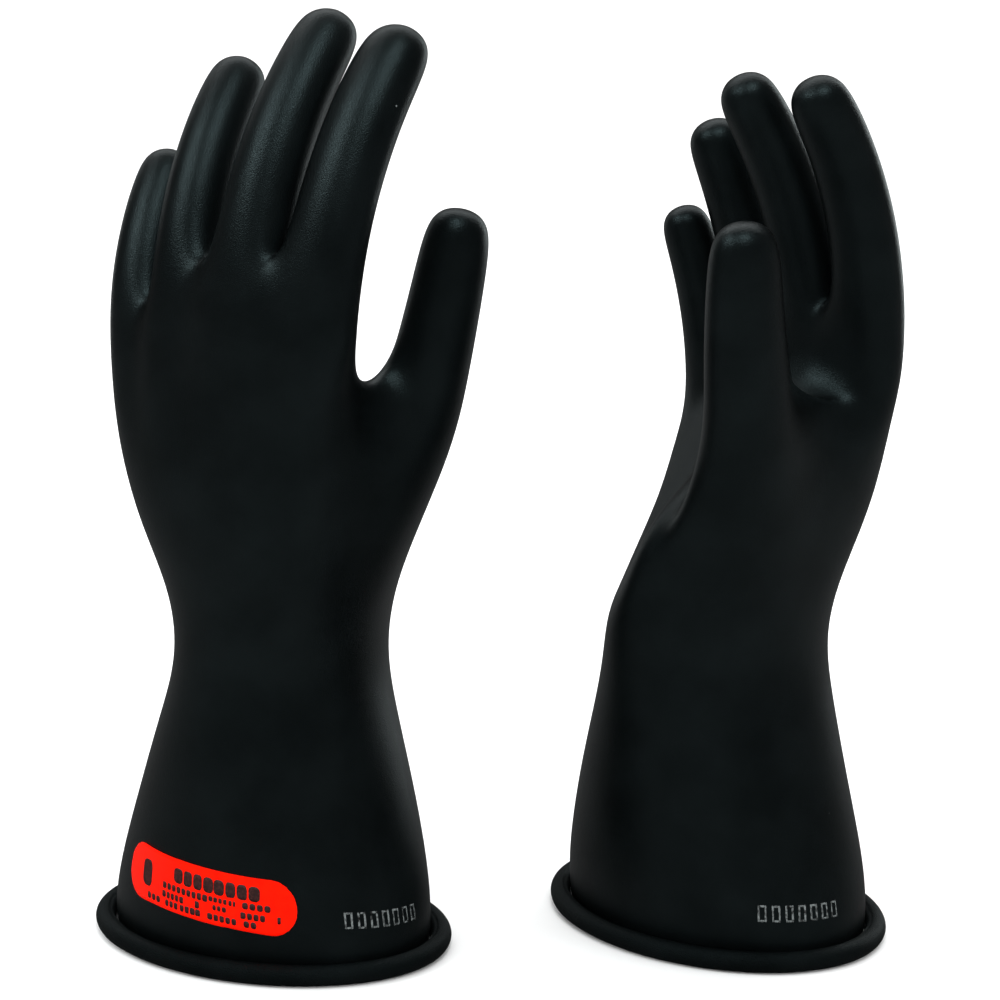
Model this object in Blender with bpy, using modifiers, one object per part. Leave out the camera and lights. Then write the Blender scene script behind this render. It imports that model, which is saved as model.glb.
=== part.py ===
"""Pair of electrical insulating gloves, dipped natural rubber, low-voltage class, size 8, 280 mm long.

Each glove stands upright on the rolled bead of its cuff. +Z runs up through the fingers, -Y is the
front of the pair, and the origin is the middle of the pair's footprint on the ground. A glove is
modelled in a frame of its own: +Z up, +X towards the thumb, -Y towards the back of the hand.
Lengths below are in millimetres and angles in degrees.
"""
import math

import bmesh
import bpy
from mathutils import Vector

MM = 0.001

# Rubber and rolled bead
WALL = 1.0
GAP = 0.35
BEAD_RADIUS = 3.2
BEAD_HALF_WIDTH = 56.0
BEAD_HALF_DEPTH = 42.3
BEAD_FLAT_HALF = 1.1
BEAD_STEPS = 18

# Where the two gloves stand: cuff centre and turn about Z
LEFT_CUFF_CENTRE = (-69.9, -25.9)
LEFT_TURN = -33.0
RIGHT_CUFF_CENTRE = (67.5, -10.6)
RIGHT_TURN = 128.8

# Gauntlet, wrist and palm sections: height, centre x, centre y, half width, half depth, squareness,
# how far the corners have moved from an even oval (0) to their places under the fingers (1), how much
# higher the thumb side is than the middle, how far the ball of the thumb stands out of the palm, and
# the column it is centred on
SECTIONS = (
    (5.9, 0.0, 0.0, 55.1, 41.1, 2.0, 0.0, 0.0, 0.0, 13.0),
    (20.0, 0.4, 0.7, 51.9, 42.4, 2.0, 0.0, 0.0, 0.0, 13.0),
    (46.0, 0.8, 2.6, 43.8, 41.0, 2.0, 0.0, 0.0, 0.0, 13.0),
    (70.0, 1.3, 3.0, 34.8, 39.5, 2.0, 0.1, 0.0, 0.0, 13.0),
    (89.0, 2.8, 3.2, 28.2, 36.9, 2.0, 0.3, 0.0, 4.0, 13.6),
    (109.0, 5.0, 0.9, 31.2, 35.6, 2.1, 0.6, 0.0, 14.0, 14.4),
    (132.0, 6.2, -13.2, 37.2, 28.0, 2.3, 0.9, 2.0, 34.0, 15.7),
)
KNUCKLE_SECTION = {
    "left": (160.0, 5.0, -19.5, 41.3, 20.0, 2.5, 1.0, 11.0, 6.0, 14.6),
    "right": (152.5, 4.5, -20.5, 43.0, 21.0, 2.5, 1.0, 10.0, 6.0, 14.6),
}
THENAR_REACH = 2.7
THENAR_LEAN = 0.26
COLUMNS = 18
RADIAL, ULNAR = 0, 9
PALM_SPREAD = (1.0, 0.85, 0.56, 0.34, 0.10, -0.13, -0.36, -0.60, -0.86, -1.0)

# Digits of the two gloves, thumb side first: knuckle centre, tilt of the first stretch (negative leans
# back), sideways lean, curl, length to the centre of the round tip, half width and half depth at the
# knuckle and at the tip, and distance up to the web on the thumb side and on the far side
FINGERS = {
    "left": {
        "index": dict(base=(34.0, -21.8, 170.0), tilt=-5.0, lean=2.8, curl=46.0, length=104.0,
                      half_width=(12.8, 11.2), half_depth=(11.0, 9.2), web=(40.0, 42.0)),
        "middle": dict(base=(11.5, -22.8, 168.5), tilt=-8.0, lean=0.8, curl=53.0, length=112.0,
                       half_width=(12.4, 10.5), half_depth=(12.0, 9.0), web=(43.0, 41.0)),
        "ring": dict(base=(-9.5, -20.7, 166.5), tilt=-8.0, lean=-5.2, curl=54.0, length=100.0,
                     half_width=(11.4, 9.3), half_depth=(11.4, 8.8), web=(42.0, 31.0)),
        "pinky": dict(base=(-27.0, -18.0, 156.0), tilt=-10.0, lean=-8.6, curl=51.0, length=80.0,
                      half_width=(10.4, 8.7), half_depth=(10.6, 8.2), web=(38.0, 34.0)),
    },
    "right": {
        "index": dict(base=(35.6, -22.2, 164.0), tilt=-15.2, lean=0.0, curl=51.0, length=93.0,
                      half_width=(12.0, 9.6), half_depth=(11.0, 9.2), web=(32.0, 32.0)),
        "middle": dict(base=(13.0, -28.0, 160.0), tilt=-4.0, lean=-1.4, curl=40.0, length=98.5,
                       half_width=(12.0, 9.4), half_depth=(12.0, 9.0), web=(33.0, 35.0)),
        "ring": dict(base=(-9.0, -27.0, 155.0), tilt=-5.0, lean=-4.5, curl=30.0, length=85.0,
                     half_width=(11.4, 9.0), half_depth=(11.4, 8.8), web=(36.0, 28.0)),
        "pinky": dict(base=(-27.8, -24.6, 146.0), tilt=-5.0, lean=-4.2, curl=26.0, length=66.0,
                      half_width=(10.4, 8.0), half_depth=(10.6, 7.8), web=(33.0, 30.0)),
    },
}
KNUCKLE_SHARE = 0.36
FINGER_RINGS = (0.38, 0.74)
HEX_SWELL = 1.2

# Thumbs, described as the fingers are; the web distances lead up to the first ring, on the outer side
# and on the side that faces the fingers
THUMBS = {
    "left": dict(base=(38.5, 21.0, 153.0), tilt=15.0, lean=8.2, curl=-8.0, length=61.0,
                 half_width=(11.4, 10.0), half_depth=(15.6, 10.6), web=(-2.0, 24.0)),
    "right": dict(base=(37.0, 22.0, 154.0), tilt=17.0, lean=7.0, curl=-10.0, length=60.5,
                  half_width=(11.4, 10.0), half_depth=(16.0, 10.6), web=(-2.0, 19.0)),
}
# Distances up to the thumb's further rings, on the same two sides
THUMB_RINGS = ((22.0, 35.0), (43.0, 47.0), (59.0, 59.0))
# Rows and columns of the palm that the thumb grows out of
THUMB_ROWS = (5, 7)
THUMB_COLUMNS = (16, 17, 0)
OCTAGON_SWELL = 1.11
THUMB_TWIST = -math.pi / 4
# Rounded tips: how far past the tip's centre each ring lies, as a share of the half width, and its
# size; then how far the middle of the cap lies
TIP_RINGS = ((0.62, 0.87), (0.97, 0.50))
TIP_APEX = 1.12

# Label on the back of the cuff
LABEL_LENGTH = 73.0
LABEL_HEIGHT = 17.5
LABEL_THICKNESS = 0.5
LABEL_CENTRE_ANGLE = {"left": 86.5, "right": 96.0}
LABEL_CENTRE_HEIGHT = 25.0
LABEL_TILT = 4.0
LABEL_STEPS = 18

# Driving colours (linear RGB)
BLACK_RUBBER = (0.010, 0.013, 0.014)
ORANGE_LABEL = (0.85, 0.06, 0.004)


def clear_scene():
    for thing in list(bpy.data.objects):
        bpy.data.objects.remove(thing, do_unlink=True)


def new_collection(name):
    collection = bpy.data.collections.new(name)
    bpy.context.scene.collection.children.link(collection)
    return collection


def material(name, colour, roughness):
    result = bpy.data.materials.new(name)
    result.use_nodes = True
    shader = result.node_tree.nodes["Principled BSDF"]
    shader.inputs["Base Color"].default_value = (*colour, 1.0)
    shader.inputs["Roughness"].default_value = roughness
    shader.inputs["Metallic"].default_value = 0.0
    result.diffuse_color = (*colour, 1.0)
    return result


def mesh_object(name, mesh, look, collection):
    thing = bpy.data.objects.new(name, mesh)
    mesh.materials.append(look)
    collection.objects.link(thing)
    return thing


def centre_line(digit, distance):
    """Point and direction at a distance along a digit's curved centre line."""
    steps = 24
    point = Vector(digit["base"])
    lean = math.tan(math.radians(digit["lean"]))
    direction = None
    for step in range(steps + 1):
        share = min(1.0, distance * step / steps / digit["length"])
        angle = math.radians(digit["tilt"] + digit["curl"] * share)
        direction = Vector((lean, math.sin(angle), math.cos(angle))).normalized()
        if step:
            point = point + direction * (distance / steps)
    return point, direction


def digit_ring(digit, distances, count, swell, shrink=1.0, twist=0.0):
    """Corners of a ring across a digit, from its thumb side round over the back of the hand.

    The ring lies at the first distance on its thumb side and at the second on its far side.
    """
    near, far = distances
    points = []
    for corner in range(count):
        angle = 2 * math.pi * corner / count
        distance = far + (near - far) * (1 + math.cos(angle)) / 2
        centre, direction = centre_line(digit, distance)
        side = (Vector((1, 0, 0)) - direction * direction.x).normalized()
        palm = direction.cross(side)
        share = max(0.0, min(1.0, distance / digit["length"]))
        width = digit["half_width"][0] * (1 - share) + digit["half_width"][1] * share
        depth = digit["half_depth"][0] * (1 - share) + digit["half_depth"][1] * share
        across = side * (width * math.cos(angle + twist) * swell * shrink)
        back = palm * (-depth * math.sin(angle + twist) * swell * shrink)
        points.append(centre + across + back)
    return points


def section_point(section, column):
    """Point of a gauntlet or palm section at one of the columns that run down the glove."""
    height, x, y, half_width, half_depth, squareness, blend, slant, thenar, thenar_column = section
    angle = 2 * math.pi * column / COLUMNS
    place = column if column <= ULNAR else COLUMNS - column
    across = math.cos(angle) * (1 - blend) + PALM_SPREAD[place] * blend
    fall = max(0.0, 1 - abs(across) ** squareness) ** (1 / squareness)
    back = math.copysign(fall, math.sin(angle)) if place not in (RADIAL, ULNAR) else 0.0
    step = abs((column - thenar_column + ULNAR) % COLUMNS - ULNAR)
    bulge = thenar * max(0.0, 1 - (step / THENAR_REACH) ** 2)
    x += half_width * across - THENAR_LEAN * bulge
    return Vector((x, y + bulge - half_depth * back, height + slant * across))


def add_ring(mesh, ring, points):
    """Add a ring of corners and the band of faces between it and the ring before."""
    fresh = [mesh.verts.new(point) for point in points]
    count = len(fresh)
    for corner in range(count):
        after = (corner + 1) % count
        mesh.faces.new((ring[corner], ring[after], fresh[after], fresh[corner]))
    return fresh


def close_tip(mesh, digit, ring):
    """Cap the last small ring of a digit with four-sided faces round a raised middle."""
    apex, _ = centre_line(digit, digit["length"] + digit["half_width"][1] * TIP_APEX)
    middle = mesh.verts.new(apex)
    count = len(ring)
    for corner in range(1, count, 2):
        mesh.faces.new((ring[corner - 1], ring[corner], ring[(corner + 1) % count], middle))


def add_finger(mesh, digit, ring):
    """Finger from its ring at the webs to its rounded tip."""
    for share in (*FINGER_RINGS, 1.0):
        reach = [web + (digit["length"] - web) * share for web in digit["web"]]
        ring = add_ring(mesh, ring, digit_ring(digit, reach, 6, HEX_SWELL))
    for past, shrink in TIP_RINGS:
        reach = digit["length"] + digit["half_width"][1] * past
        ring = add_ring(mesh, ring, digit_ring(digit, (reach, reach), 6, HEX_SWELL, shrink))
    close_tip(mesh, digit, ring)


def add_thumb(mesh, thumb, rows):
    """Thumb, grown from a hole two columns wide and two rows high on the palm's thumb side."""
    low, high = THUMB_ROWS
    palm_side, centre, back_side = THUMB_COLUMNS
    ring = [rows[low][centre], rows[low][back_side], rows[low + 1][back_side], rows[high][back_side],
            rows[high][centre], rows[high][palm_side], rows[low + 1][palm_side], rows[low][palm_side]]
    for reach in (thumb["web"], *THUMB_RINGS):
        ring = add_ring(mesh, ring, digit_ring(thumb, reach, 8, OCTAGON_SWELL, 1.0, THUMB_TWIST))
    for past, shrink in TIP_RINGS:
        reach = thumb["length"] + thumb["half_width"][1] * past
        ring = add_ring(mesh, ring, digit_ring(thumb, (reach, reach), 8, OCTAGON_SWELL, shrink, THUMB_TWIST))
    close_tip(mesh, thumb, ring)


def glove_cage(side):
    """Coarse cage of one glove as a left hand, open at the cuff, in millimetres."""
    mesh = bmesh.new()
    rows = []
    for section in (*SECTIONS, KNUCKLE_SECTION[side]):
        rows.append([mesh.verts.new(section_point(section, column)) for column in range(COLUMNS)])

    fingers = list(FINGERS[side].values())
    knuckles = [None] * COLUMNS
    webs = [None] * COLUMNS
    rings = []
    for place, digit in enumerate(fingers):
        columns = [None, 1 + 2 * place, 2 + 2 * place, None, COLUMNS - 2 - 2 * place, COLUMNS - 1 - 2 * place]
        if place == 0:
            columns[0] = RADIAL
        if place == len(fingers) - 1:
            columns[3] = ULNAR
        knuckle = digit_ring(digit, [web * KNUCKLE_SHARE for web in digit["web"]], 6, HEX_SWELL)
        ring = [mesh.verts.new(point) for point in digit_ring(digit, digit["web"], 6, HEX_SWELL)]
        for corner, column in enumerate(columns):
            if column is not None:
                knuckles[column] = mesh.verts.new(knuckle[corner])
                webs[column] = ring[corner]
        rings.append(ring)
    rows.append(knuckles)
    rows.append(webs)

    low, high = THUMB_ROWS
    for row in range(len(rows) - 1):
        for column in range(COLUMNS):
            if low <= row < high and column in THUMB_COLUMNS[:2]:
                continue
            after = (column + 1) % COLUMNS
            mesh.faces.new((rows[row][column], rows[row][after], rows[row + 1][after], rows[row + 1][column]))
    mesh.verts.remove(rows[low + 1][THUMB_COLUMNS[1]])

    for near, far in zip(rings, rings[1:]):
        mesh.faces.new((near[2], far[1], far[0], near[3]))
        mesh.faces.new((near[3], far[0], far[5], near[4]))
    for digit, ring in zip(fingers, rings):
        add_finger(mesh, digit, ring)
    add_thumb(mesh, THUMBS[side], rows)
    return mesh


def glove_shell(side, hand, look, collection):
    """Rubber shell: the cage, smoothed, and thickened inwards by the rubber's wall."""
    name = side + "_glove_shell"
    cage = glove_cage(side)
    bmesh.ops.scale(cage, vec=(hand * MM, MM, MM), verts=cage.verts)
    bmesh.ops.recalc_face_normals(cage, faces=cage.faces)
    data = bpy.data.meshes.new(name)
    cage.to_mesh(data)
    cage.free()
    data.shade_smooth()
    shell = mesh_object(name, data, look, collection)
    smooth = shell.modifiers.new("Smooth rubber", "SUBSURF")
    smooth.levels = 1
    smooth.render_levels = 1
    wall = shell.modifiers.new("Rubber wall", "SOLIDIFY")
    wall.thickness = WALL * MM
    wall.offset = -1.0
    wall.use_even_offset = False
    return shell


def bead_profile(collection):
    """Section of the rolled bead: a circle whose foot is flat where the glove stands on it."""
    data = bpy.data.curves.new("bead_profile", "CURVE")
    data.dimensions = "2D"
    spline = data.splines.new("POLY")
    foot = math.asin(BEAD_FLAT_HALF / BEAD_RADIUS)
    sides = 9
    turn = (2 * math.pi - 2 * foot) / sides
    spline.points.add(sides)
    for corner in range(sides + 1):
        angle = -math.pi / 2 - foot - turn * corner
        x = BEAD_RADIUS * math.cos(angle)
        y = BEAD_RADIUS * math.sin(angle)
        spline.points[corner].co = (x * MM, y * MM, 0.0, 1.0)
    spline.use_cyclic_u = True
    guide = bpy.data.objects.new("bead_profile", data)
    guide.hide_render = True
    guide.display_type = "WIRE"
    collection.objects.link(guide)
    return guide


def cuff_bead(name, guide, look, collection):
    """Rolled bead: the profile swept round the oval rim of the cuff."""
    data = bpy.data.curves.new(name, "CURVE")
    data.dimensions = "2D"
    data.bevel_mode = "OBJECT"
    data.bevel_object = guide
    spline = data.splines.new("POLY")
    count = 2 * BEAD_STEPS
    spline.points.add(count - 1)
    for step in range(count):
        angle = 2 * math.pi * step / count
        x = BEAD_HALF_WIDTH * math.cos(angle)
        y = BEAD_HALF_DEPTH * math.sin(angle)
        spline.points[step].co = (x * MM, y * MM, 0.0, 1.0)
    spline.use_cyclic_u = True
    bead = mesh_object(name, data, look, collection)
    return bead


def cuff_label(side, hand, shell, look, collection):
    """Thin label with round ends, bonded flat on the back of the cuff just above the bead."""
    name = side + "_label"
    mesh = bmesh.new()
    half_height = LABEL_HEIGHT / 2
    straight = LABEL_LENGTH / 2 - half_height
    reach = (BEAD_HALF_WIDTH + BEAD_HALF_DEPTH) / 2
    columns = []
    for step in range(LABEL_STEPS + 1):
        along = -math.cos(math.pi * step / LABEL_STEPS) * LABEL_LENGTH / 2
        past = max(0.0, abs(along) - straight)
        half = max(math.sqrt(max(0.0, half_height ** 2 - past ** 2)), 1.2)
        angle = math.radians(LABEL_CENTRE_ANGLE[side]) + along / reach
        middle = LABEL_CENTRE_HEIGHT + along * math.tan(math.radians(LABEL_TILT))
        column = []
        for share in (-1.0, 0.0, 1.0):
            x = hand * reach * math.cos(angle)
            y = -reach * math.sin(angle)
            column.append(mesh.verts.new((x * MM, y * MM, (middle + share * half) * MM)))
        columns.append(column)
    for near, far in zip(columns, columns[1:]):
        for row in range(2):
            mesh.faces.new((near[row], far[row], far[row + 1], near[row + 1]))
    bmesh.ops.recalc_face_normals(mesh, faces=mesh.faces)
    data = bpy.data.meshes.new(name)
    mesh.to_mesh(data)
    mesh.free()
    data.shade_smooth()
    label = mesh_object(name, data, look, collection)
    label.parent = shell
    wrap = label.modifiers.new("Lie on cuff", "SHRINKWRAP")
    wrap.target = shell
    wrap.wrap_method = "NEAREST_SURFACEPOINT"
    wrap.wrap_mode = "ABOVE_SURFACE"
    wrap.offset = GAP * MM
    sheet = label.modifiers.new("Label sheet", "SOLIDIFY")
    sheet.thickness = LABEL_THICKNESS * MM
    sheet.offset = 1.0
    return label


def stand(thing, centre, turn):
    thing.location = (centre[0] * MM, centre[1] * MM, thing.location.z)
    thing.rotation_euler = (0.0, 0.0, math.radians(turn))


def centre_on_ground(collection):
    """Move the pair so that the middle of its bounding box is at X = Y = 0."""
    bpy.context.view_layer.update()
    graph = bpy.context.evaluated_depsgraph_get()
    corners = []
    for thing in collection.objects:
        solid = thing.evaluated_get(graph)
        mesh = solid.to_mesh()
        corners += [solid.matrix_world @ vertex.co for vertex in mesh.vertices]
        solid.to_mesh_clear()
    shift_x = -(min(point.x for point in corners) + max(point.x for point in corners)) / 2
    shift_y = -(min(point.y for point in corners) + max(point.y for point in corners)) / 2
    for thing in collection.objects:
        if thing.parent is None:
            thing.location.x += shift_x
            thing.location.y += shift_y


def build():
    clear_scene()
    gloves = new_collection("electrical_insulating_gloves")
    guides = new_collection("guides")
    profile = bead_profile(guides)
    places = (
        ("left", 1.0, LEFT_CUFF_CENTRE, LEFT_TURN),
        ("right", -1.0, RIGHT_CUFF_CENTRE, RIGHT_TURN),
    )
    for side, hand, centre, turn in places:
        shell = glove_shell(side, hand, material(side + " rubber", BLACK_RUBBER, 0.45), gloves)
        stand(shell, centre, turn)
        bead = cuff_bead(side + "_cuff_bead", profile, material(side + " bead", BLACK_RUBBER, 0.5), gloves)
        bead.location.z = BEAD_RADIUS * math.cos(math.asin(BEAD_FLAT_HALF / BEAD_RADIUS)) * MM
        stand(bead, centre, turn)
        cuff_label(side, hand, shell, material(side + " label", ORANGE_LABEL, 0.5), gloves)
    centre_on_ground(gloves)


build()
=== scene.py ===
"""Looks of a pair of electrical insulating gloves: black dipped rubber, rolled beads, orange cuff labels.

Each glove's rubber is a finely smoothed skin grown from the same coarse hand shape as the CAD model,
so it lies on the CAD shell, except where it dips into a hollow beside the thumb's web and at the cuff,
where it runs a little further down into the bead. A glove is modelled in a frame of its own: +Z up, +X
towards the thumb, -Y towards the back of the hand. It is then mirrored for the right hand, turned and
stood on the place of its CAD cuff. Lengths in the constants are in millimetres and angles in degrees;
the camera and the lights are placed in metres.
"""
import math

import bmesh
import bpy
from mathutils import Matrix, Vector, noise

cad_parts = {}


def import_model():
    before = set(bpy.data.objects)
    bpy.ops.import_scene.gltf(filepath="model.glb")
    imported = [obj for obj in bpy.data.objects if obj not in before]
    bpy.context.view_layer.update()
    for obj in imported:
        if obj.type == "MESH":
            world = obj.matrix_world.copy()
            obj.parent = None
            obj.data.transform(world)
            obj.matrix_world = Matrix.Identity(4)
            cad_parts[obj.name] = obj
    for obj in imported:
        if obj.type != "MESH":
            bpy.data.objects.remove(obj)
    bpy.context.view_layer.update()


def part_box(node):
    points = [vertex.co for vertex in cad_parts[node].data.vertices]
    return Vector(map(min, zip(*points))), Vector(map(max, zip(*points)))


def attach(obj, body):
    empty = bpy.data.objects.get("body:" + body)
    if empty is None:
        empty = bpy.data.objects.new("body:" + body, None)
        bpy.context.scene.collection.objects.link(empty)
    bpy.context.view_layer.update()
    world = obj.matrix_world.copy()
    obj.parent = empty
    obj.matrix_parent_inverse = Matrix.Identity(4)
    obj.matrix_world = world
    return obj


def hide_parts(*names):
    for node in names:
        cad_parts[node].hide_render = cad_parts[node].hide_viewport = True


MM = 0.001

# The two gloves: mirror sign and turn about Z
HANDS = {"left": (1.0, -33.0), "right": (-1.0, 128.8)}

# Rubber: wall, subdivision levels, rounds of smoothing of the whole skin and of the thumb's web, and how
# far from its middle the web is smoothed
WALL = 1.0
SKIN_LEVELS = 3
SKIN_POLISH = 10
WEB_POLISH = 50
WEB_REACH = 32.0
POLISH_FACTOR = 0.5
# Hollow beside the thumb's web: its middle, and how far the rubber is drawn back there
WEB_HOLLOW = {
    "left": ((36.0, -4.0, 174.0), (-4.9, 7.6, 0.0)),
    "right": ((38.0, -4.0, 171.0), (-7.0, -5.6, 0.0)),
}
HOLLOW_REACH = 28.0

# Gauntlet, wrist and palm sections: height, centre x, centre y, half width, half depth, squareness,
# how far the corners have moved from an even oval (0) to their places under the fingers (1), how much
# higher the thumb side is than the middle, how far the ball of the thumb stands out of the palm, and
# the column it is centred on
SECTIONS = (
    (2.6, 0.0, 0.0, 53.4, 39.7, 2.0, 0.0, 0.0, 0.0, 13.0),
    (6.4, 0.0, 0.0, 53.8, 40.3, 2.0, 0.0, 0.0, 0.0, 13.0),
    (20.0, 0.4, 0.7, 51.9, 42.4, 2.0, 0.0, 0.0, 0.0, 13.0),
    (46.0, 0.8, 2.6, 43.8, 41.0, 2.0, 0.0, 0.0, 0.0, 13.0),
    (70.0, 1.3, 3.0, 34.8, 39.5, 2.0, 0.1, 0.0, 0.0, 13.0),
    (89.0, 2.8, 3.2, 28.2, 36.9, 2.0, 0.3, 0.0, 4.0, 13.6),
    (109.0, 5.0, 0.9, 31.2, 35.6, 2.1, 0.6, 0.0, 14.0, 14.4),
    (132.0, 6.2, -13.2, 37.2, 28.0, 2.3, 0.9, 2.0, 34.0, 15.7),
)
KNUCKLE_SECTION = {
    "left": (160.0, 5.0, -19.5, 41.3, 20.0, 2.5, 1.0, 11.0, 6.0, 14.6),
    "right": (152.5, 4.5, -20.5, 43.0, 21.0, 2.5, 1.0, 10.0, 6.0, 14.6),
}
THENAR_REACH = 2.7
THENAR_LEAN = 0.26
COLUMNS = 18
RADIAL, ULNAR = 0, 9
PALM_SPREAD = (1.0, 0.85, 0.56, 0.34, 0.10, -0.13, -0.36, -0.60, -0.86, -1.0)

# Digits of the two gloves, thumb side first: knuckle centre, tilt of the first stretch (negative leans
# back), sideways lean, curl, length to the centre of the round tip, half width and half depth at the
# knuckle and at the tip, and distance up to the web on the thumb side and on the far side
FINGERS = {
    "left": {
        "index": dict(base=(34.0, -21.8, 170.0), tilt=-5.0, lean=2.8, curl=46.0, length=104.0,
                      half_width=(12.8, 11.2), half_depth=(11.0, 9.2), web=(40.0, 42.0)),
        "middle": dict(base=(11.5, -22.8, 168.5), tilt=-8.0, lean=0.8, curl=53.0, length=112.0,
                       half_width=(12.4, 10.5), half_depth=(12.0, 9.0), web=(43.0, 41.0)),
        "ring": dict(base=(-9.5, -20.7, 166.5), tilt=-8.0, lean=-5.2, curl=54.0, length=100.0,
                     half_width=(11.4, 9.3), half_depth=(11.4, 8.8), web=(42.0, 31.0)),
        "pinky": dict(base=(-27.0, -18.0, 156.0), tilt=-10.0, lean=-8.6, curl=51.0, length=80.0,
                      half_width=(10.4, 8.7), half_depth=(10.6, 8.2), web=(38.0, 34.0)),
    },
    "right": {
        "index": dict(base=(35.6, -22.2, 164.0), tilt=-15.2, lean=0.0, curl=51.0, length=93.0,
                      half_width=(12.0, 9.6), half_depth=(11.0, 9.2), web=(32.0, 32.0)),
        "middle": dict(base=(13.0, -28.0, 160.0), tilt=-4.0, lean=-1.4, curl=40.0, length=98.5,
                       half_width=(12.0, 9.4), half_depth=(12.0, 9.0), web=(33.0, 35.0)),
        "ring": dict(base=(-9.0, -27.0, 155.0), tilt=-5.0, lean=-4.5, curl=30.0, length=85.0,
                     half_width=(11.4, 9.0), half_depth=(11.4, 8.8), web=(36.0, 28.0)),
        "pinky": dict(base=(-27.8, -24.6, 146.0), tilt=-5.0, lean=-4.2, curl=26.0, length=66.0,
                      half_width=(10.4, 8.0), half_depth=(10.6, 7.8), web=(33.0, 30.0)),
    },
}
# Place of the knuckle ring, as a share of the way to the web, and of the rings between web and tip
KNUCKLE_SHARE = 0.36
FINGER_RINGS = (0.38, 0.74)
# Corners of a finger's rings, how far they stand out so that the smoothed finger has its width, and
# the steps in which a digit's centre line is followed
FINGER_CORNERS = 6
HEX_SWELL = 1.2
CENTRE_LINE_STEPS = 24

# Thumbs, described as the fingers are; the web distances lead up to the first ring, on the outer side
# and on the side that faces the fingers
THUMBS = {
    "left": dict(base=(38.5, 21.0, 153.0), tilt=15.0, lean=8.2, curl=-8.0, length=61.0,
                 half_width=(11.4, 10.0), half_depth=(15.6, 10.6), web=(-2.0, 24.0)),
    "right": dict(base=(37.0, 22.0, 154.0), tilt=17.0, lean=7.0, curl=-10.0, length=60.5,
                  half_width=(11.4, 10.0), half_depth=(16.0, 10.6), web=(-2.0, 19.0)),
}
# Distances up to the thumb's further rings, on the same two sides
THUMB_RINGS = ((22.0, 35.0), (43.0, 47.0), (59.0, 59.0))
# Rows and columns of the palm that the thumb grows out of
THUMB_ROWS = (6, 8)
THUMB_COLUMNS = (16, 17, 0)
THUMB_CORNERS = 8
OCTAGON_SWELL = 1.11
THUMB_TWIST = -math.pi / 4
# Rounded tips: how far past the tip's centre each ring lies, as a share of the half width, and its
# size; then how far the middle of the cap lies
TIP_RINGS = ((0.62, 0.87), (0.97, 0.50))
TIP_APEX = 1.12

# Rolled bead: oval, radius, faces round the oval and round the tube, how much its thickness varies with
# the scale and seed of that noise, and the height of its flat underside
BEAD_HALF_WIDTH = 56.0
BEAD_HALF_DEPTH = 42.3
BEAD_RADIUS = 3.2
BEAD_STEPS = 320
BEAD_SIDES = 40
BEAD_UNEVENNESS = 0.10
BEAD_NOISE = (3, 0.5)
BEAD_UNDERSIDE = 0.12
# Line on the bead where the roll ends: angle round the bead, wander, raggedness, width and depth
ROLL_LINE_ANGLE = 118.0
ROLL_LINE_WANDER = 7.0
ROLL_LINE_RAGGEDNESS = 2.5
ROLL_LINE_WIDTH = 9.0
ROLL_LINE_DEPTH = 0.80
ROLL_LINE_SHARPNESS = 1.5
# Noise along the line: radius of its loop, then the scale and seed of wander, raggedness and depth
ROLL_NOISE_RADIUS = 9.0
WANDER_NOISE = (1, 2.0)
RAGGED_NOISE = (8, 5.0)
DEPTH_NOISE = (4, 9.0)

# Label on the back of the cuff: the sheet, and the generic blocks printed on it
LABEL_REACH = (49.15, 49.15)
LABEL_LENGTH = 73.0
LABEL_HEIGHT = 17.5
LABEL_THICKNESS = 0.35
LABEL_LIFT = 0.06
LABEL_CENTRE_ANGLE = {"left": 86.5, "right": 96.0}
LABEL_CENTRE_HEIGHT = 25.0
LABEL_TILT = 4.0
LABEL_STEPS = 72
PRINT_THICKNESS = 0.04
PRINT_LIFT = 0.42
PRINT_STEPS = 6
PRINT_ROUNDING = 0.35
# Printed rows of plain blocks: left end along the label, height of the middle, block height, number of
# blocks and block width
PRINT_ROWS = (
    (-26.6, 0.6, 8.4, 1, 5.4),
    (-9.5, 3.7, 4.8, 8, 3.8),
    (-15.0, -0.7, 2.2, 9, 1.8),
    (5.5, -0.4, 1.6, 4, 1.4),
    (13.1, -0.4, 1.6, 2, 1.0),
    (18.0, -0.4, 2.2, 4, 2.1),
    (-15.0, -3.6, 2.2, 5, 1.6),
    (-0.2, -3.6, 2.2, 1, 1.8),
    (6.9, -3.0, 1.6, 3, 1.4),
    (17.3, -3.6, 2.2, 4, 1.8),
    (30.0, -3.6, 2.2, 1, 1.0),
    (-23.2, -6.3, 2.2, 3, 2.0),
    (-13.6, -6.3, 2.2, 3, 1.7),
    (-6.6, -6.3, 2.2, 4, 1.8),
    (5.0, -6.3, 2.2, 5, 1.8),
    (18.4, -6.3, 2.2, 2, 2.0),
)
PRINT_GAP = 0.45

# Patches laid on the cuff: height of a row of faces, and height left at the ends as a share
PATCH_ROW_HEIGHT = 1.2
PATCH_END_SHARE = 0.02

# Ink marks stamped on the thumb side of the cuff: middle angle, height and tilt
STAMPS = {"left": (14.5, 17.4, 5.0), "right": (-16.5, 17.0, -1.5)}
STAMP_REACH = (55.5, 43.5)
STAMP_COUNT = 7
STAMP_PITCH = 4.4
STAMP_WIDTH = 2.7
STAMP_HEIGHT = 5.2
STAMP_STROKE = 0.6
STAMP_GAP = 0.1
STAMP_STEPS = 4
STAMP_ROUNDING = 0.1
STAMP_LIFT = 0.05
STAMP_THICKNESS = 0.03

# Camera: point aimed at and distance in metres, elevation, lens and sensor
CAMERA_AIM = (0.0029, 0.0161, 0.1303)
CAMERA_DISTANCE = 0.900
CAMERA_ELEVATION = 11.4
CAMERA_LENS = 105.3
CAMERA_SENSOR = 36.0

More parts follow.
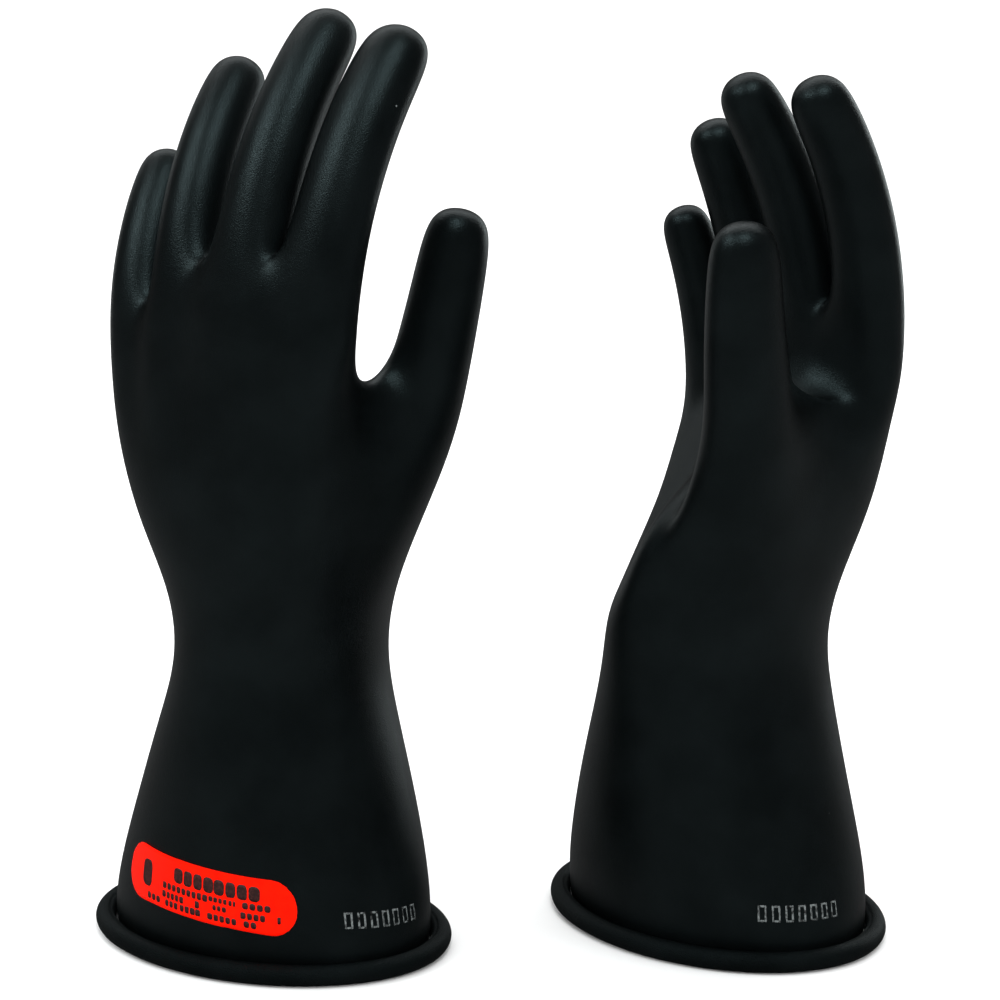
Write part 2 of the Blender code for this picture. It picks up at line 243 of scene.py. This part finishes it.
# Colours (linear RGB)
RUBBER_DARK = (0.0014, 0.0019, 0.0021)
RUBBER_LIGHT = (0.0027, 0.0037, 0.0040)
SHEEN_TINT = (0.70, 0.96, 1.0)
DUST = (0.16, 0.18, 0.18)
LABEL_ORANGE = (1.0, 0.0080, 0.0003)
LABEL_ORANGE_DEEP = (0.90, 0.0055, 0.0003)
PRINT_BLACK = (0.030, 0.004, 0.003)
STAMP_GREY = (0.15, 0.17, 0.17)
NEUTRAL_WHITE = (1.0, 1.0, 1.0)
COOL_WHITE = (0.93, 1.0, 1.0)

# Rubber finishes: strength of the fine grain, index of refraction and roughness
RUBBER_FINISH = {
    "black_rubber": dict(grain=0.30, ior=1.45, roughness=0.335),
    "bead_rubber": dict(grain=0.95, ior=1.30, roughness=0.52),
}
ROUGHNESS_SPREAD = 0.035
THIN_INK = 2.6

# Brightness of the floor and the surroundings, directly and where the rubber mirrors them
FLOOR_WHITE = 0.97
MIRRORED_FLOOR = 0.08
WORLD_STRENGTH = 1.36
MIRRORED_WORLD = 0.05
FLOOR_HALF_SIZE = 30.0

# Soft lights: place and target in metres, size and power
PAIR_MIDDLE = (0.0, 0.0, 0.15)
LIGHTS = {
    "key_left": dict(location=(-0.95, -0.30, 1.22), target=PAIR_MIDDLE, size=(0.28, 0.28),
                     power=3.2, colour=COOL_WHITE),
    "key_top": dict(location=(0.08, -0.62, 1.42), target=PAIR_MIDDLE, size=(0.28, 0.28),
                    power=3.2, colour=COOL_WHITE),
    "rim_left": dict(location=(-0.80, 1.20, 0.35), target=PAIR_MIDDLE, size=(0.3, 1.2),
                     power=0.6, colour=COOL_WHITE),
    "rim_right": dict(location=(0.85, 1.15, 0.40), target=PAIR_MIDDLE, size=(0.4, 1.2),
                      power=3.0, colour=COOL_WHITE),
    "top_back": dict(location=(0.0, 1.3, 1.7), target=(0.0, 0.6, 0.0), size=(2.6, 1.2),
                     power=12.0, colour=NEUTRAL_WHITE),
}


def centre_line(digit, distance):
    """Point and direction at a distance along a digit's curved centre line."""
    steps = CENTRE_LINE_STEPS
    point = Vector(digit["base"])
    lean = math.tan(math.radians(digit["lean"]))
    direction = None
    for step in range(steps + 1):
        share = min(1.0, distance * step / steps / digit["length"])
        angle = math.radians(digit["tilt"] + digit["curl"] * share)
        direction = Vector((lean, math.sin(angle), math.cos(angle))).normalized()
        if step:
            point = point + direction * (distance / steps)
    return point, direction


def digit_ring(digit, distances, count, swell, shrink=1.0, twist=0.0):
    """Corners of a ring across a digit, from its thumb side round over the back of the hand.

    The ring lies at the first distance on its thumb side and at the second on its far side.
    """
    near, far = distances
    points = []
    for corner in range(count):
        angle = 2 * math.pi * corner / count
        distance = far + (near - far) * (1 + math.cos(angle)) / 2
        centre, direction = centre_line(digit, distance)
        side = (Vector((1, 0, 0)) - direction * direction.x).normalized()
        palm = direction.cross(side)
        share = max(0.0, min(1.0, distance / digit["length"]))
        width = digit["half_width"][0] * (1 - share) + digit["half_width"][1] * share
        depth = digit["half_depth"][0] * (1 - share) + digit["half_depth"][1] * share
        across = side * (width * math.cos(angle + twist) * swell * shrink)
        back = palm * (-depth * math.sin(angle + twist) * swell * shrink)
        points.append(centre + across + back)
    return points


def section_point(section, column):
    """Point of a gauntlet or palm section at one of the columns that run down the glove."""
    height, x, y, half_width, half_depth, squareness, blend, slant, thenar, thenar_column = section
    angle = 2 * math.pi * column / COLUMNS
    seat = column if column <= ULNAR else COLUMNS - column
    across = math.cos(angle) * (1 - blend) + PALM_SPREAD[seat] * blend
    fall = max(0.0, 1 - abs(across) ** squareness) ** (1 / squareness)
    back = math.copysign(fall, math.sin(angle)) if seat not in (RADIAL, ULNAR) else 0.0
    step = abs((column - thenar_column + ULNAR) % COLUMNS - ULNAR)
    bulge = thenar * max(0.0, 1 - (step / THENAR_REACH) ** 2)
    x += half_width * across - THENAR_LEAN * bulge
    return Vector((x, y + bulge - half_depth * back, height + slant * across))


def add_ring(mesh, ring, points):
    """Add a ring of corners and the band of faces between it and the ring before."""
    fresh = [mesh.verts.new(point) for point in points]
    count = len(fresh)
    for corner in range(count):
        after = (corner + 1) % count
        mesh.faces.new((ring[corner], ring[after], fresh[after], fresh[corner]))
    return fresh


def close_tip(mesh, digit, ring):
    """Cap the last small ring of a digit with four-sided faces round a raised middle."""
    apex, _ = centre_line(digit, digit["length"] + digit["half_width"][1] * TIP_APEX)
    middle = mesh.verts.new(apex)
    count = len(ring)
    for corner in range(1, count, 2):
        mesh.faces.new((ring[corner - 1], ring[corner], ring[(corner + 1) % count], middle))


def add_finger(mesh, digit, ring):
    """Finger from its ring at the webs to its rounded tip."""
    for share in (*FINGER_RINGS, 1.0):
        reach = [web + (digit["length"] - web) * share for web in digit["web"]]
        ring = add_ring(mesh, ring, digit_ring(digit, reach, FINGER_CORNERS, HEX_SWELL))
    for past, shrink in TIP_RINGS:
        reach = digit["length"] + digit["half_width"][1] * past
        corners = digit_ring(digit, (reach, reach), FINGER_CORNERS, HEX_SWELL, shrink)
        ring = add_ring(mesh, ring, corners)
    close_tip(mesh, digit, ring)


def add_thumb(mesh, thumb, rows):
    """Thumb, grown from a hole two columns wide and two rows high on the palm's thumb side."""
    low, high = THUMB_ROWS
    palm_side, centre, back_side = THUMB_COLUMNS
    ring = [
        rows[low][centre],
        rows[low][back_side],
        rows[low + 1][back_side],
        rows[high][back_side],
        rows[high][centre],
        rows[high][palm_side],
        rows[low + 1][palm_side],
        rows[low][palm_side],
    ]
    for reach in (thumb["web"], *THUMB_RINGS):
        corners = digit_ring(thumb, reach, THUMB_CORNERS, OCTAGON_SWELL, 1.0, THUMB_TWIST)
        ring = add_ring(mesh, ring, corners)
    for past, shrink in TIP_RINGS:
        reach = thumb["length"] + thumb["half_width"][1] * past
        corners = digit_ring(thumb, (reach, reach), THUMB_CORNERS, OCTAGON_SWELL, shrink, THUMB_TWIST)
        ring = add_ring(mesh, ring, corners)
    close_tip(mesh, thumb, ring)


def finger_columns(seat, last):
    """Columns of the palm that a finger's ring corners continue; None between two fingers."""
    near, far = 1 + 2 * seat, 2 + 2 * seat
    columns = [None, near, far, None, COLUMNS - far, COLUMNS - near]
    if seat == 0:
        columns[0] = RADIAL
    if seat == last:
        columns[3] = ULNAR
    return columns


def finger_roots(mesh, fingers):
    """The rows of corners at the knuckles and at the webs, and each finger's ring at its webs."""
    knuckles = [None] * COLUMNS
    webs = [None] * COLUMNS
    rings = []
    for seat, digit in enumerate(fingers):
        knuckle_reach = [web * KNUCKLE_SHARE for web in digit["web"]]
        knuckle = digit_ring(digit, knuckle_reach, FINGER_CORNERS, HEX_SWELL)
        web_corners = digit_ring(digit, digit["web"], FINGER_CORNERS, HEX_SWELL)
        ring = [mesh.verts.new(point) for point in web_corners]
        for corner, column in enumerate(finger_columns(seat, len(fingers) - 1)):
            if column is not None:
                knuckles[column] = mesh.verts.new(knuckle[corner])
                webs[column] = ring[corner]
        rings.append(ring)
    return knuckles, webs, rings


def fill_rows(mesh, rows):
    """Faces between the rows of the gauntlet and the palm, with a hole left for the thumb."""
    low, high = THUMB_ROWS
    for near, far in zip(range(len(rows) - 1), range(1, len(rows))):
        for column in range(COLUMNS):
            if low <= near < high and column in THUMB_COLUMNS[:2]:
                continue
            after = (column + 1) % COLUMNS
            mesh.faces.new((rows[near][column], rows[near][after], rows[far][after], rows[far][column]))
    mesh.verts.remove(rows[low + 1][THUMB_COLUMNS[1]])


def glove_cage(side):
    """Coarse cage of one glove as a left hand, open at the cuff, in millimetres."""
    mesh = bmesh.new()
    rows = []
    for section in (*SECTIONS, KNUCKLE_SECTION[side]):
        rows.append([mesh.verts.new(section_point(section, column)) for column in range(COLUMNS)])
    fingers = list(FINGERS[side].values())
    knuckles, webs, rings = finger_roots(mesh, fingers)
    rows.append(knuckles)
    rows.append(webs)
    fill_rows(mesh, rows)
    for near, far in zip(rings, rings[1:]):
        mesh.faces.new((near[2], far[1], far[0], near[3]))
        mesh.faces.new((near[3], far[0], far[5], near[4]))
    for digit, ring in zip(fingers, rings):
        add_finger(mesh, digit, ring)
    add_thumb(mesh, THUMBS[side], rows)
    return mesh


def stand(side):
    """Transform from a glove's own frame, in millimetres, to its stand in the CAD frame."""
    hand, turn = HANDS[side]
    low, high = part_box(side + "_cuff_bead")
    middle = ((low[0] + high[0]) / 2, (low[1] + high[1]) / 2, 0.0)
    size = Matrix.Diagonal((hand * MM, MM, MM, 1.0))
    return Matrix.Translation(middle) @ Matrix.Rotation(math.radians(turn), 4, "Z") @ size


def add_object(name, data):
    """New object in the scene."""
    thing = bpy.data.objects.new(name, data)
    bpy.context.scene.collection.objects.link(thing)
    return thing


def mesh_object(name, mesh, look):
    """New smooth-shaded object with one material."""
    data = bpy.data.meshes.new(name)
    mesh.to_mesh(data)
    mesh.free()
    data.shade_smooth()
    data.materials.append(look)
    return add_object(name, data)


def piece(name, cage, side, look):
    """Object made from a cage in the glove's frame, set in its place, with outward faces."""
    bmesh.ops.transform(cage, matrix=stand(side), verts=cage.verts)
    bmesh.ops.recalc_face_normals(cage, faces=cage.faces)
    return mesh_object(name, cage, look)


def settle(thing):
    """Turn a piece's modifiers into plain mesh."""
    graph = bpy.context.evaluated_depsgraph_get()
    data = bpy.data.meshes.new_from_object(thing.evaluated_get(graph))
    thing.modifiers.clear()
    thing.data = data
    return thing


def add_hollow(skin, side):
    """Draw the rubber back in the hollow beside the thumb's web, fading out over its reach."""
    middle, depth = WEB_HOLLOW[side]
    hollow = stand(side) @ Vector(middle)
    push = stand(side).to_3x3() @ Vector(depth)
    for vertex in skin.data.vertices:
        near = max(0.0, 1 - (vertex.co - hollow).length / (HOLLOW_REACH * MM))
        vertex.co += push * (near * near * (3 - 2 * near))


def soften_web(skin, side):
    """Round off the web between the thumb and the index finger, at full strength up to half its reach."""
    web = (Vector(FINGERS[side]["index"]["base"]) + Vector(THUMBS[side]["base"])) / 2
    middle = stand(side) @ web
    group = skin.vertex_groups.new(name="thumb web")
    for vertex in skin.data.vertices:
        near = 1 - (vertex.co - middle).length / (WEB_REACH * MM)
        if near > 0:
            group.add((vertex.index,), min(1.0, 2 * near), "REPLACE")
    round_off = skin.modifiers.new("Rounded web", "SMOOTH")
    round_off.factor = POLISH_FACTOR
    round_off.iterations = WEB_POLISH
    round_off.vertex_group = group.name


def rubber_skin(side, look):
    """The glove's rubber: a smooth skin with the thickness of the wall inside it."""
    skin = piece(side + "_rubber_glove", glove_cage(side), side, look)
    smooth = skin.modifiers.new("Smooth rubber", "SUBSURF")
    smooth.levels = SKIN_LEVELS
    smooth.render_levels = SKIN_LEVELS
    polish = skin.modifiers.new("Dipped softness", "SMOOTH")
    polish.factor = POLISH_FACTOR
    polish.iterations = SKIN_POLISH
    settle(skin)
    add_hollow(skin, side)
    soften_web(skin, side)
    wall = skin.modifiers.new("Rubber wall", "SOLIDIFY")
    wall.thickness = WALL * MM
    wall.offset = -1.0
    wall.use_even_offset = False
    return settle(skin)


def loop_noise(x, y, kind):
    """Noise at a point of a loop, at the scale and with the seed of its kind."""
    scale, seed = kind
    return noise.noise(Vector((scale * x, scale * y, seed)))


def roll_depth(around, angle):
    """How deep the line where the rolled rubber ends lies below the bead's surface."""
    x = ROLL_NOISE_RADIUS * math.cos(around)
    y = ROLL_NOISE_RADIUS * math.sin(around)
    wander = ROLL_LINE_WANDER * loop_noise(x, y, WANDER_NOISE)
    ragged = ROLL_LINE_RAGGEDNESS * loop_noise(x, y, RAGGED_NOISE)
    off = abs(angle - ROLL_LINE_ANGLE - wander - ragged) / ROLL_LINE_WIDTH
    uneven = 0.75 + 0.5 * loop_noise(x, y, DEPTH_NOISE)
    return ROLL_LINE_DEPTH * uneven * max(0.0, 1 - off) ** ROLL_LINE_SHARPNESS


def bead_ring(mesh, around):
    """Ring of corners across the bead, at an angle round the cuff."""
    x, y = math.cos(around), math.sin(around)
    middle = Vector((BEAD_HALF_WIDTH * x, BEAD_HALF_DEPTH * y, BEAD_RADIUS))
    out = Vector((x / BEAD_HALF_WIDTH, y / BEAD_HALF_DEPTH, 0.0)).normalized()
    swell = BEAD_UNEVENNESS * loop_noise(x, y, BEAD_NOISE)
    ring = []
    for corner in range(BEAD_SIDES):
        degrees = 360.0 * corner / BEAD_SIDES
        angle = math.radians(degrees)
        radius = BEAD_RADIUS - BEAD_UNEVENNESS + swell - roll_depth(around, degrees)
        point = middle + out * (radius * math.cos(angle)) + Vector((0, 0, radius * math.sin(angle)))
        point.z = max(point.z, BEAD_UNDERSIDE)
        ring.append(mesh.verts.new(point))
    return ring


def rolled_bead(side, look):
    """Rolled rim of the cuff: a tube round the oval, flat underneath, with its roll line on top."""
    mesh = bmesh.new()
    rings = [bead_ring(mesh, 2 * math.pi * step / BEAD_STEPS) for step in range(BEAD_STEPS)]
    for step, near in enumerate(rings):
        far = rings[(step + 1) % BEAD_STEPS]
        for corner in range(BEAD_SIDES):
            after = (corner + 1) % BEAD_SIDES
            mesh.faces.new((near[corner], near[after], far[after], far[corner]))
    return piece(side + "_rolled_bead", mesh, side, look)


def cuff_point(spot, along, up):
    """Point beside the cuff: from the spot's angle round it, a distance along and up."""
    angle, height, tilt, reach = spot
    start = math.radians(angle)
    pace = math.hypot(reach[0] * math.sin(start), reach[1] * math.cos(start))
    turn = start - along / pace
    height += up - along * math.tan(math.radians(tilt))
    return Vector((reach[0] * math.cos(turn), -reach[1] * math.sin(turn), height))


def add_patch(mesh, spot, middle, size, steps, corner):
    """Grid patch with rounded ends beside the cuff; spot is its angle, height, tilt and reach."""
    columns = []
    for step in range(steps + 1):
        along = -math.cos(math.pi * step / steps) * size[0] / 2
        past = max(0.0, abs(along) - (size[0] / 2 - corner))
        half = size[1] / 2 - corner + math.sqrt(max(0.0, corner ** 2 - past ** 2))
        half = max(half, PATCH_END_SHARE * size[1])
        column = []
        rows = max(2, round(size[1] / PATCH_ROW_HEIGHT))
        for row in range(rows + 1):
            up = middle[1] + half * (2 * row / rows - 1)
            column.append(mesh.verts.new(cuff_point(spot, middle[0] + along, up)))
        columns.append(column)
    for near, far in zip(columns, columns[1:]):
        for row in range(len(near) - 1):
            mesh.faces.new((near[row], far[row], far[row + 1], near[row + 1]))


def laid_on(thing, skin, lift, thickness):
    """Lay a thin sheet on the rubber, facing out, and give it its thickness."""
    wrap = thing.modifiers.new("Lie on rubber", "SHRINKWRAP")
    wrap.target = skin
    wrap.wrap_method = "NEAREST_SURFACEPOINT"
    wrap.wrap_mode = "ABOVE_SURFACE"
    wrap.offset = lift * MM
    sheet = thing.modifiers.new("Sheet", "SOLIDIFY")
    sheet.thickness = thickness * MM
    sheet.offset = 1.0
    return settle(thing)


def cuff_sheet(name, side, patches, skin, lift, thickness, look):
    """One piece made of patches laid on the cuff of one glove."""
    mesh = bmesh.new()
    for patch in patches:
        add_patch(mesh, *patch)
    bmesh.ops.transform(mesh, matrix=stand(side), verts=mesh.verts)
    mesh.normal_update()
    centre = stand(side).translation
    for face in mesh.faces:
        outward = face.calc_center_median() - centre
        outward.z = 0.0
        if face.normal.dot(outward) < 0:
            face.normal_flip()
    return laid_on(mesh_object(name, mesh, look), skin, lift, thickness)


def label_sheet(side, skin, look):
    """The orange label, a sheet with round ends."""
    spot = (LABEL_CENTRE_ANGLE[side], LABEL_CENTRE_HEIGHT, LABEL_TILT, LABEL_REACH)
    size = (LABEL_LENGTH, LABEL_HEIGHT)
    patch = (spot, (0.0, 0.0), size, LABEL_STEPS, LABEL_HEIGHT / 2)
    return cuff_sheet(side + "_label_sheet", side, [patch], skin, LABEL_LIFT, LABEL_THICKNESS, look)


def label_print(side, skin, look):
    """Generic blocks in rows, standing for the label's printed lines."""
    spot = (LABEL_CENTRE_ANGLE[side], LABEL_CENTRE_HEIGHT, LABEL_TILT, LABEL_REACH)
    hand = HANDS[side][0]
    patches = []
    for start, up, height, count, width in PRINT_ROWS:
        for block in range(count):
            along = start + block * (width + PRINT_GAP)
            middle = (hand * (along + width / 2), up)
            rounding = PRINT_ROUNDING * min(width, height)
            patches.append((spot, middle, (width, height), PRINT_STEPS, rounding))
    return cuff_sheet(side + "_label_print", side, patches, skin, PRINT_LIFT, PRINT_THICKNESS, look)


def stamp_marks(side, skin, look):
    """Row of small generic ink marks on the thumb side of the cuff: hollow boxes, all alike."""
    spot = (*STAMPS[side], STAMP_REACH)
    across = (STAMP_WIDTH - STAMP_STROKE) / 2
    upward = (STAMP_HEIGHT - STAMP_STROKE) / 2
    upright = (STAMP_STROKE, STAMP_HEIGHT)
    level = (STAMP_WIDTH - 2 * STAMP_STROKE - STAMP_GAP, STAMP_STROKE)
    patches = []
    for mark in range(STAMP_COUNT):
        along = (mark - (STAMP_COUNT - 1) / 2) * STAMP_PITCH
        for way in (-1, 1):
            patches.append((spot, (along + way * across, 0.0), upright, STAMP_STEPS, STAMP_ROUNDING))
            patches.append((spot, (along, way * upward), level, STAMP_STEPS, STAMP_ROUNDING))
    return cuff_sheet(side + "_stamp_marks", side, patches, skin, STAMP_LIFT, STAMP_THICKNESS, look)


def new_material(name, roughness):
    """New material, its nodes, links and shader, and the object coordinates."""
    result = bpy.data.materials.new(name)
    result.use_nodes = True
    nodes = result.node_tree.nodes
    shader = nodes["Principled BSDF"]
    shader.inputs["Roughness"].default_value = roughness
    coordinates = nodes.new("ShaderNodeTexCoord")
    return result, nodes, result.node_tree.links, shader, coordinates.outputs["Object"]


def noise_node(nodes, links, where, scale, detail):
    """Noise, about 0.5 on average; the scale is in waves per metre."""
    result = nodes.new("ShaderNodeTexNoise")
    result.inputs["Scale"].default_value = scale
    result.inputs["Detail"].default_value = detail
    links.new(where, result.inputs["Vector"])
    return result.outputs["Fac"]


def ramp_node(nodes, links, source, low, high, dark, light):
    """Blend between two colours as the source goes from low to high."""
    result = nodes.new("ShaderNodeValToRGB")
    result.color_ramp.elements[0].position = low
    result.color_ramp.elements[0].color = (*dark, 1.0)
    result.color_ramp.elements[1].position = high
    result.color_ramp.elements[1].color = (*light, 1.0)
    links.new(source, result.inputs["Fac"])
    return result.outputs["Color"]


def range_node(nodes, links, source, low, high):
    """Value from low to high as the source goes from 0.3 to 0.7."""
    result = nodes.new("ShaderNodeMapRange")
    result.inputs["From Min"].default_value = 0.3
    result.inputs["From Max"].default_value = 0.7
    result.inputs["To Min"].default_value = low
    result.inputs["To Max"].default_value = high
    links.new(source, result.inputs["Value"])
    return result.outputs["Result"]


def bump_node(nodes, links, source, strength, distance, under=None):
    """Surface direction with the source as relief, on top of another one if given."""
    result = nodes.new("ShaderNodeBump")
    result.inputs["Strength"].default_value = strength
    result.inputs["Distance"].default_value = distance
    links.new(source, result.inputs["Height"])
    if under is not None:
        links.new(under, result.inputs["Normal"])
    return result.outputs["Normal"]


def dust_specks(nodes, links, where):
    """1 in a few tiny spots and 0 elsewhere."""
    dust = nodes.new("ShaderNodeTexVoronoi")
    dust.inputs["Scale"].default_value = 85.0
    links.new(where, dust.inputs["Vector"])
    white, black = (1, 1, 1), (0, 0, 0)
    spot = ramp_node(nodes, links, dust.outputs["Distance"], low=0.020, high=0.034, dark=white, light=black)
    few = ramp_node(nodes, links, dust.outputs["Color"], low=0.80, high=0.84, dark=black, light=white)
    both = nodes.new("ShaderNodeMath")
    both.operation = "MULTIPLY"
    links.new(spot, both.inputs[0])
    links.new(few, both.inputs[1])
    return both.outputs["Value"]


def rubber_material(name):
    """Black dipped rubber: satin, faintly mottled, with fine grain and a few specks of dust."""
    finish = RUBBER_FINISH[name]
    roughness = finish["roughness"]
    result, nodes, links, shader, where = new_material(name, roughness)
    shader.inputs["IOR"].default_value = finish["ior"]
    shader.inputs["Specular Tint"].default_value = (*SHEEN_TINT, 1.0)

    mottle = noise_node(nodes, links, where, scale=55.0, detail=4.0)
    skin = ramp_node(nodes, links, mottle, low=0.35, high=0.68, dark=RUBBER_DARK, light=RUBBER_LIGHT)
    mix = nodes.new("ShaderNodeMix")
    mix.data_type = "RGBA"
    mix.inputs["B"].default_value = (*DUST, 1.0)
    links.new(dust_specks(nodes, links, where), mix.inputs["Factor"])
    links.new(skin, mix.inputs["A"])
    links.new(mix.outputs["Result"], shader.inputs["Base Color"])

    sheen = noise_node(nodes, links, where, scale=900.0, detail=6.0)
    uneven = range_node(nodes, links, sheen, roughness - ROUGHNESS_SPREAD, roughness + ROUGHNESS_SPREAD)
    links.new(uneven, shader.inputs["Roughness"])

    fine = noise_node(nodes, links, where, scale=2700.0, detail=3.0)
    wavy = noise_node(nodes, links, where, scale=260.0, detail=2.0)
    soft = bump_node(nodes, links, wavy, strength=0.04, distance=0.0006)
    grain = bump_node(nodes, links, fine, strength=finish["grain"], distance=0.0004, under=soft)
    links.new(grain, shader.inputs["Normal"])
    return result


def label_material():
    """Printed vinyl label: bright orange, slightly uneven ink, soft gloss."""
    result, nodes, links, shader, where = new_material("orange_label", roughness=0.42)
    shader.inputs["IOR"].default_value = 1.35
    shader.inputs["Specular IOR Level"].default_value = 0.04
    ink = noise_node(nodes, links, where, scale=420.0, detail=6.0)
    colour = ramp_node(nodes, links, ink, low=0.30, high=0.66, dark=LABEL_ORANGE_DEEP, light=LABEL_ORANGE)
    links.new(colour, shader.inputs["Base Color"])
    links.new(range_node(nodes, links, ink, low=0.40, high=0.52), shader.inputs["Roughness"])
    fine = noise_node(nodes, links, where, scale=1800.0, detail=2.0)
    links.new(bump_node(nodes, links, fine, strength=0.08, distance=0.0003), shader.inputs["Normal"])
    return result


def print_material():
    """Dark printing ink, a little thin in places."""
    result, nodes, links, shader, where = new_material("label_ink", roughness=0.5)
    patchy = noise_node(nodes, links, where, scale=1500.0, detail=3.0)
    thin = tuple(THIN_INK * value for value in PRINT_BLACK)
    colour = ramp_node(nodes, links, patchy, low=0.45, high=0.75, dark=PRINT_BLACK, light=thin)
    links.new(colour, shader.inputs["Base Color"])
    return result


def stamp_material():
    """Grey stamping ink that took unevenly on the rubber."""
    result, nodes, links, shader, where = new_material("stamp_ink", roughness=0.6)
    patchy = noise_node(nodes, links, where, scale=900.0, detail=4.0)
    colour = ramp_node(nodes, links, patchy, low=0.36, high=0.60, dark=RUBBER_LIGHT, light=STAMP_GREY)
    links.new(colour, shader.inputs["Base Color"])
    links.new(range_node(nodes, links, patchy, low=0.5, high=0.7), shader.inputs["Roughness"])
    return result


def when_mirrored(nodes, links, usual, mirrored):
    """A value that differs where it is seen in something glossy."""
    path = nodes.new("ShaderNodeLightPath")
    amount = nodes.new("ShaderNodeMapRange")
    amount.inputs["To Min"].default_value = usual
    amount.inputs["To Max"].default_value = mirrored
    links.new(path.outputs["Is Glossy Ray"], amount.inputs["Value"])
    return amount.outputs["Result"]


def floor():
    """Plain pale floor under the gloves."""
    mesh = bmesh.new()
    bmesh.ops.create_grid(mesh, x_segments=1, y_segments=1, size=FLOOR_HALF_SIZE)
    data = bpy.data.meshes.new("studio_floor")
    mesh.to_mesh(data)
    mesh.free()
    look, nodes, links, shader, _ = new_material("studio_floor", roughness=0.9)
    shader.inputs["Specular IOR Level"].default_value = 0.0
    shade = when_mirrored(nodes, links, FLOOR_WHITE, MIRRORED_FLOOR)
    links.new(shade, shader.inputs["Base Color"])
    data.materials.append(look)
    add_object("studio_floor", data)


def aim(thing, target):
    """Turn a light or the camera to face a point."""
    direction = Vector(target) - thing.location
    thing.rotation_euler = direction.to_track_quat("-Z", "Y").to_euler()


def soft_light(name, location, target, size, power, colour):
    """Rectangular area light that faces its target."""
    data = bpy.data.lights.new(name, "AREA")
    data.shape = "RECTANGLE"
    data.size, data.size_y = size
    data.energy = power
    data.color = colour
    light = add_object(name, data)
    light.location = location
    aim(light, target)


def world():
    """White surroundings that light evenly, and are dim where the rubber mirrors them."""
    result = bpy.data.worlds.new("studio")
    bpy.context.scene.world = result
    result.use_nodes = True
    nodes = result.node_tree.nodes
    links = result.node_tree.links
    background = nodes["Background"]
    background.inputs["Color"].default_value = (*NEUTRAL_WHITE, 1.0)
    links.new(when_mirrored(nodes, links, WORLD_STRENGTH, MIRRORED_WORLD), background.inputs["Strength"])


def camera():
    """The photograph's view of the pair."""
    data = bpy.data.cameras.new("camera")
    data.sensor_width = CAMERA_SENSOR
    data.lens = CAMERA_LENS
    result = add_object("camera", data)
    rise = math.radians(CAMERA_ELEVATION)
    back = CAMERA_DISTANCE * math.cos(rise)
    target = Vector(CAMERA_AIM)
    result.location = target + Vector((0.0, -back, CAMERA_DISTANCE * math.sin(rise)))
    aim(result, target)
    bpy.context.scene.camera = result


def studio():
    """Floor, lights, surroundings and camera."""
    floor()
    for name, light in LIGHTS.items():
        soft_light(name, **light)
    world()
    bpy.context.scene.view_settings.view_transform = "Standard"
    camera()


def glove(side, skin_look, bead_look, label_look, print_look, stamp_look):
    """All the pieces of one glove, riding on its body."""
    skin = rubber_skin(side, skin_look)
    bead = rolled_bead(side, bead_look)
    label = label_sheet(side, skin, label_look)
    ink = label_print(side, skin, print_look)
    stamp = stamp_marks(side, skin, stamp_look)
    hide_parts(side + "_glove_shell")
    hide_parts(side + "_cuff_bead")
    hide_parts(side + "_label")
    for thing in (skin, bead, label, ink, stamp):
        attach(thing, side + "_glove")


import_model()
rubber = rubber_material("black_rubber")
bead_rubber = rubber_material("bead_rubber")
orange = label_material()
print_ink = print_material()
stamp_ink = stamp_material()
for glove_side in HANDS:
    glove(glove_side, rubber, bead_rubber, orange, print_ink, stamp_ink)
studio()
